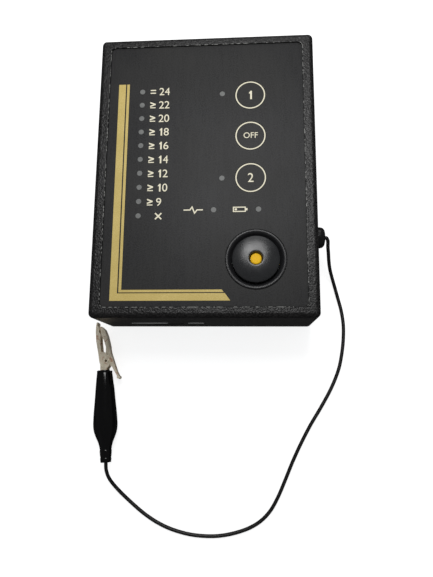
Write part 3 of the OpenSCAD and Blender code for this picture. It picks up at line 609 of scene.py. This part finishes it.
PROBE_X, PROBE_Y = 21.7, -39.3
CUP_R, CUP_NECK_R, CUP_BORE = 12.6, 11.6, 9.96
CUP_TOP, CUP_SEAT, CUP_LOW = CASE_H - 0.2, 34.75, 31.1
HOOD_R, HOOD_INNER_R, HOOD_HOLE_R = 9.8, 8.2, 2.65
HOOD_TOP, HOOD_LOW = CASE_H + 1.5, 31
cup_profile = [
    (CUP_BORE, CUP_LOW), (CUP_NECK_R, CUP_LOW), (CUP_NECK_R, CUP_SEAT), (CUP_R, CUP_SEAT),
    (CUP_R, CUP_TOP - 0.3), (CUP_R - 0.05, CUP_TOP - 0.12), (CUP_R - 0.18, CUP_TOP - 0.03),
    (CUP_R - 0.35, CUP_TOP), (11.85, CUP_TOP), (11.6, CUP_TOP - 0.06), (11.2, CUP_TOP - 0.42),
    (10.7, CUP_TOP - 1.1), (10.35, CUP_TOP - 1.65), (10.15, CUP_TOP - 1.9),
    (CUP_BORE, CUP_TOP - 2),
]
hood_profile = [
    (HOOD_INNER_R, HOOD_LOW), (HOOD_R, HOOD_LOW), (HOOD_R, CASE_H - 0.25),
    (HOOD_R - 0.04, CASE_H - 0.05), (HOOD_R - 0.14, CASE_H + 0.1), (HOOD_R - 0.3, CASE_H + 0.2),
    (8.8, CASE_H + 0.45), (7.6, CASE_H + 0.82), (6.2, CASE_H + 1.15), (4.8, CASE_H + 1.37),
    (3.6, HOOD_TOP - 0.02), (HOOD_HOLE_R + 0.4, HOOD_TOP), (HOOD_HOLE_R + 0.2, HOOD_TOP - 0.06),
    (HOOD_HOLE_R + 0.07, HOOD_TOP - 0.2), (HOOD_HOLE_R, HOOD_TOP - 0.5),
    (HOOD_HOLE_R, HOOD_TOP - 1.3), (HOOD_HOLE_R, HOOD_TOP - 1.6), (6.2, HOOD_TOP - 1.95),
    (HOOD_INNER_R, HOOD_TOP - 2.9),
]
at_probe = Matrix.Translation((PROBE_X, PROBE_Y, 0))
for name, profile, material, slot in (("cup", cup_profile, CUP, "case_black"),
                                      ("hood", hood_profile, HOOD, "hood_black")):
    piece = add(name, turned(name, profile, at_probe, sides=128), material, "case")
    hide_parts(f"probe_{name}")

# The clip's boot: a vinyl sleeve with soft flutes on its shoulder, notched for the lever

CLIP_AT = Vector((-46.2, -109, 5.6))
CLIP_YAW = math.radians(4.3)
CLIP_PITCH = math.radians(-3)
BOOT_R = 5.4
BOOT_L = 40.4
BOOT_WALL = 0.8
BOOT_BORE = LEAD_D / 2 + 0.25
MOUTH_R = 3.5
NECK_Y = -15.5
NECK_L = 8
LEVER_HALF = 2
NOTCH_L, NOTCH_IN, NOTCH_OUT = 6.6, 1, 8
to_clip = (Matrix.Translation(CLIP_AT) @ Matrix.Rotation(CLIP_YAW, 4, "Z")
           @ Matrix.Rotation(CLIP_PITCH, 4, "X"))
boot_outer = [
    (2.3, 0), (2.42, 0.9), (2.48, 1.6), (2.36, 2.1), (2.5, 2.7), (2.62, 4.2), (2.66, 5),
    (2.54, 5.5), (2.7, 6.1), (2.78, 6.8), (3.36, 8.8), (4.46, 11.4), (BOOT_R - 0.25, 13.6),
    (BOOT_R, 15.8), (BOOT_R - 0.02, 18), (BOOT_R - 0.25, 21.5), (BOOT_R - 0.75, 27),
    (MOUTH_R + 0.6, 34), (MOUTH_R + 0.18, 38.4), (MOUTH_R + 0.05, 39.4), (MOUTH_R + 0.1, 40),
    (MOUTH_R - 0.1, BOOT_L),
]
outer = [(p.x, p.y) for p in smooth([(r, h, 0) for r, h in boot_outer], 3)]
inner = [(max(r - BOOT_WALL, BOOT_BORE + 0.06), h) for r, h in reversed(outer)
         if h > NECK_L + 0.2]
bore = [(BOOT_BORE, NECK_L), (BOOT_BORE, 0)]
boot_profile = [(r, h + NECK_Y) for r, h in outer + inner + bore]

FLUTES = 18
FLUTE_DEPTH = 0.09
FLUTE_START, FLUTE_RISE = 10.4, 2.4
FADE_START, FADE_L = 13.4, 9


def boot_flutes(angle, h):
    """Flutes that stand on the shoulder and fade towards the mouth"""
    at = h - NECK_Y
    rise = min(max((at - FLUTE_START) / FLUTE_RISE, 0), 1)
    fade = min(max(1 - (at - FADE_START) / FADE_L, 0), 1)
    return -FLUTE_DEPTH * rise * fade * (1 - math.cos(FLUTES * angle))


lathe_turn = to_clip @ Matrix.Rotation(-math.pi / 2, 4, "X")
boot_data = turned("boot", boot_profile, lathe_turn, sides=144, flute=boot_flutes)
boot = add("boot", boot_data, BOOT, "case")
mouth_y = NECK_Y + BOOT_L
notch_ys = (mouth_y - NOTCH_L, mouth_y + 2)
notch = block("cutter", (NOTCH_IN, NOTCH_OUT), notch_ys, (-LEVER_HALF, LEVER_HALF), to_clip)
cutter = bpy.data.objects.new("cutter", notch)
bpy.context.scene.collection.objects.link(cutter)
cut = boot.modifiers.new("notch", "BOOLEAN")
cut.operation = "DIFFERENCE"
cut.solver = "EXACT"
cut.object = cutter
bpy.context.view_layer.update()
graph = bpy.context.evaluated_depsgraph_get()
notched = bpy.data.meshes.new_from_object(boot.evaluated_get(graph))
boot.modifiers.clear()
boot.data = notched
bpy.data.objects.remove(cutter)
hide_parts("clip_boot")

# The pocket's upper edge, with a painted highlight in pale dashes where the rim's inner edge
# catches light

POCKET_W, POCKET_L, POCKET_R = 85.3, 118.3, 2
GLINT_W = 0.15
outside = rounded(POCKET_W + 2 * GLINT_W, POCKET_L + 2 * GLINT_W, POCKET_R + GLINT_W)
flat_print("pocket_rim_glint", outside, CASE_H + 0.01, RIM_GLINT, thick=0.03,
           holes=[rounded(POCKET_W, POCKET_L, POCKET_R)])

# The gold band and the fine line beside it, with slanted ends

BAND_L, BAND_T, BAND_TOP, BAND_LOW = -38.6, 3.1, 41.1, -56.5
BAND_END = 11.2
LINE_L, LINE_V, LINE_H, LINE_LOW = -34.95, 1.15, 1.05, -53
LINE_END = 8.5
band = [
    (BAND_L, BAND_TOP), (BAND_L, BAND_LOW), (BAND_END, BAND_LOW),
    (BAND_END - 2.25, BAND_LOW + BAND_T), (BAND_L + BAND_T, BAND_LOW + BAND_T),
    (BAND_L + BAND_T, BAND_TOP),
]
line = [
    (LINE_L, BAND_TOP), (LINE_L, LINE_LOW), (LINE_END, LINE_LOW),
    (LINE_END - 0.8, LINE_LOW + LINE_H), (LINE_L + LINE_V, LINE_LOW + LINE_H),
    (LINE_L + LINE_V, BAND_TOP),
]
flat_print("gold_band", band, INK_Z, GOLD)
flat_print("gold_line", line, INK_Z, GOLD)

# The scale's numbers, each a little lower beside its lamp than the one above

LED_TOP, LED_PITCH = 37.3, 6.38
KARATS = (24, 22, 20, 18, 16, 14, 12, 10, 9)
NUMBER_DROP, NUMBER_DRIFT = 0.1, 0.035
NUMBER_L, NUMBER_H, DIGIT_W = -20.4, 3.5, 2.2
SIGN_L, SIGN_R = -24.3, -21.9
SIGN_HALF = 1.5
BAR_T = 0.52
EQUALS_HALF = 0.68
ANGLE = [(0, SIGN_HALF), (0, 0.85), (1.45, 0.3), (0, -0.25), (0, -0.9), (SIGN_R - SIGN_L, 0.02),
         (SIGN_R - SIGN_L, 0.58)]
for i, karat in enumerate(KARATS):
    y = LED_TOP - i * LED_PITCH - NUMBER_DROP - NUMBER_DRIFT * i
    figures(f"number_{karat}", str(karat), NUMBER_L, y, DIGIT_W, NUMBER_H)
    if i == 0:
        for side in (-1, 1):
            mid = y + side * EQUALS_HALF
            inked(f"equals_{side + 1}", box(SIGN_L, mid - BAR_T / 2, SIGN_R, mid + BAR_T / 2))
    else:
        low = y - SIGN_HALF
        inked(f"bar_{karat}", box(SIGN_L, low, SIGN_R, low + BAR_T * 0.85))
        inked(f"angle_{karat}", shifted(ANGLE, SIGN_L, y))

# The lamps' flat lens faces, level with the overlay

KEY_X, KEY_TOP, KEY_PITCH = 19.7, 34.3, 19.1
STATUS_Y = -17.9
LED_X, MODE_LED_X, TESTING_LED_X, BATTERY_LED_X = -27.9, 7.5, 4.1, 22.9
LENS_R = 1.14
LENS_Z = FACE_Z - 0.02
lamps = [(LED_X, LED_TOP - i * LED_PITCH) for i in range(len(KARATS) + 1)]
lamps += [(MODE_LED_X, KEY_TOP + 1), (MODE_LED_X, KEY_TOP - 2 * KEY_PITCH)]
lamps += [(TESTING_LED_X, STATUS_Y), (BATTERY_LED_X, STATUS_Y)]
for i, (x, y) in enumerate(lamps):
    flat_print(f"lens_{i}", circle(x, y, LENS_R, 40), LENS_Z, LENS, thick=0.02)

# Rings on the keys, with plain numbers, and OFF in the middle one

RING_R, RING_T = 6.45, 0.5
OFF_L, OFF_R, OFF_LOW, OFF_TOP = -2.95, 3.15, -1.1, 1.5
MARK_W, MARK_H = 2.4, 4
for i, (body, mark) in enumerate((("upper_key", "1"), ("off_key", "OFF"), ("lower_key", "2"))):
    y = KEY_TOP - i * KEY_PITCH
    inked(f"ring_{body}", circle(KEY_X, y, RING_R), body,
          holes=[circle(KEY_X, y, RING_R - RING_T)])
    if mark == "OFF":
        fit = (KEY_X + OFF_L, y + OFF_LOW, KEY_X + OFF_R, y + OFF_TOP)
        lettering(f"mark_{body}", mark, fit, body)
    else:
        figures(f"mark_{body}", mark, KEY_X - MARK_W / 2, y, MARK_W, MARK_H, body)

# Pictograms: a pulse and a battery beside the status lamps, and a cross under the numbers

PULSE = [(-8.6, 0), (-5.9, 0), (-5, 1.3), (-3.9, -1.4), (-2.9, 0), (-0.4, 0)]
inked("pulse_mark", strip(shifted(PULSE, 0, STATUS_Y), 0.5))

CELL = [(12.2, -1.15), (17.6, -1.15), (17.6, -0.5), (18.3, -0.5), (18.3, 0.5), (17.6, 0.5),
        (17.6, 1.15), (12.2, 1.15)]
CELL_HOLE = box(12.65, -0.7, 17.15, 0.7)
CELL_LEVEL = box(12.95, -0.42, 13.9, 0.42)
inked("battery_mark", shifted(CELL, 0, STATUS_Y), holes=[shifted(CELL_HOLE, 0, STATUS_Y)])
inked("battery_level", shifted(CELL_LEVEL, 0, STATUS_Y))

CROSS_X, CROSS_Y = -19.3, LED_TOP - len(KARATS) * LED_PITCH - 0.3
CROSS_ARM, CROSS_HALF = 1.9, 0.3
cross = []
for i in range(4):
    a = math.radians(45 + 90 * i)
    u = Vector((math.cos(a), math.sin(a)))
    v = Vector((-math.sin(a), math.cos(a)))
    end, half = u * CROSS_ARM, v * CROSS_HALF
    cross += [end - half, end + half, (u + v) * CROSS_HALF]
inked("cross_mark", shifted(cross, CROSS_X, CROSS_Y))

# A thin proud strip across the near wall, on the battery door, painted near-white as a highlight
# where light catches its edge

DOOR_HIGHLIGHT_XS = ((-33.2, -17.2), (-8, -1.2))
DOOR_HIGHLIGHT_YS = (-CASE_L / 2 - 0.12, -CASE_L / 2 + 0.05)
DOOR_HIGHLIGHT_ZS = (16.7, 17.05)
for i, xs in enumerate(DOOR_HIGHLIGHT_XS):
    name = f"door_highlight_{i}"
    add(name, block(name, xs, DOOR_HIGHLIGHT_YS, DOOR_HIGHLIGHT_ZS), PAINTED_HIGHLIGHT, "door")

# Stage: a white floor that keeps the shadow, and soft studio light


def shader(tree, kind, **values):
    """The output of a new shader node with those inputs"""
    node = tree.nodes.new(kind)
    for socket, value in values.items():
        node.inputs[socket].default_value = value
    return node.outputs[0]


def added(tree, a, b):
    """Two shaders' light together"""
    node = tree.nodes.new("ShaderNodeAddShader")
    for value, socket in zip((a, b), node.inputs):
        tree.links.new(value, socket)
    return node.outputs[0]


def chosen(tree, factor, no, yes):
    """One shader where the factor is 0, and the other where it is 1"""
    node = tree.nodes.new("ShaderNodeMixShader")
    for value, socket in zip((factor, no, yes), node.inputs):
        tree.links.new(value, socket)
    return node.outputs[0]


def shadow_paper(name, colour, white, bounce, mirrored):
    """White with a soft shadow to the camera, dark in reflections, and clear from underneath"""
    material = bpy.data.materials.new(name)
    material.use_nodes = True
    tree = material.node_tree
    tree.nodes.clear()
    path = tree.nodes.new("ShaderNodeLightPath").outputs
    backfacing = tree.nodes.new("ShaderNodeNewGeometry").outputs["Backfacing"]
    paper = shader(tree, "ShaderNodeBsdfDiffuse", Color=colour)
    seen = added(tree, paper, shader(tree, "ShaderNodeEmission", Strength=white))
    lit = added(tree, paper, shader(tree, "ShaderNodeEmission", Strength=bounce))
    dim = shader(tree, "ShaderNodeEmission", Strength=mirrored)
    by_ray = chosen(tree, path["Is Camera Ray"], lit, seen)
    by_ray = chosen(tree, path["Is Glossy Ray"], by_ray, dim)
    one_sided = chosen(tree, backfacing, by_ray, shader(tree, "ShaderNodeBsdfTransparent"))
    tree.links.new(one_sided, tree.nodes.new("ShaderNodeOutputMaterial").inputs["Surface"])
    return material


FLOOR_HALF = 4
floor_data = bpy.data.meshes.new("floor")
floor_corners = box(-FLOOR_HALF, -FLOOR_HALF, FLOOR_HALF, FLOOR_HALF)
floor_data.from_pydata([(x, y, 0) for x, y in floor_corners], [], [(0, 1, 2, 3)])
floor_data.materials.append(shadow_paper("floor_white", colour=(0.62, 0.62, 0.62, 1), white=0.78,
                                         bounce=0.2, mirrored=0.03))
floor = bpy.data.objects.new("floor", floor_data)
bpy.context.scene.collection.objects.link(floor)

# The world: a pale sky, dim in reflections, and plain white to the camera

world =bpy.data.worlds.new("studio")
bpy.context.scene.world = world
world.use_nodes = True
tree = world.node_tree
tree.nodes.clear()
path = tree.nodes.new("ShaderNodeLightPath").outputs
sky = shader(tree, "ShaderNodeBackground", Color=(0.96, 0.98, 1, 1), Strength=0.36)
gloom = shader(tree, "ShaderNodeBackground", Color=(0.8, 0.8, 0.8, 1), Strength=0.12)
white = shader(tree, "ShaderNodeBackground", Color=(1, 1, 1, 1))
around = chosen(tree, path["Is Glossy Ray"], sky, gloom)
around = chosen(tree, path["Is Camera Ray"], around, white)
tree.links.new(around, tree.nodes.new("ShaderNodeOutputWorld").inputs["Surface"])


def softbox(name, at, target, size, watts):
    """A rectangular light in metres, which the camera doesn't see"""
    data = bpy.data.lights.new(name, "AREA")
    data.shape = "RECTANGLE"
    data.size, data.size_y = size
    data.energy = watts
    light = bpy.data.objects.new(name, data)
    light.location = at
    light.visible_camera = False
    light.rotation_euler = (Vector(target) - Vector(at)).to_track_quat("-Z", "Y").to_euler()
    bpy.context.scene.collection.objects.link(light)


softbox("key", at=(0.01, 0.085, 0.27), target=(0.01, -0.03, 0.036), size=(0.14, 0.13), watts=0.36)
softbox("back", at=(0.1, 0.9, 0.5), target=(0, 0, 0.03), size=(0.7, 0.4), watts=0.8)

bpy.context.scene.view_settings.view_transform = "Standard"

bpy.context.view_layer.update()
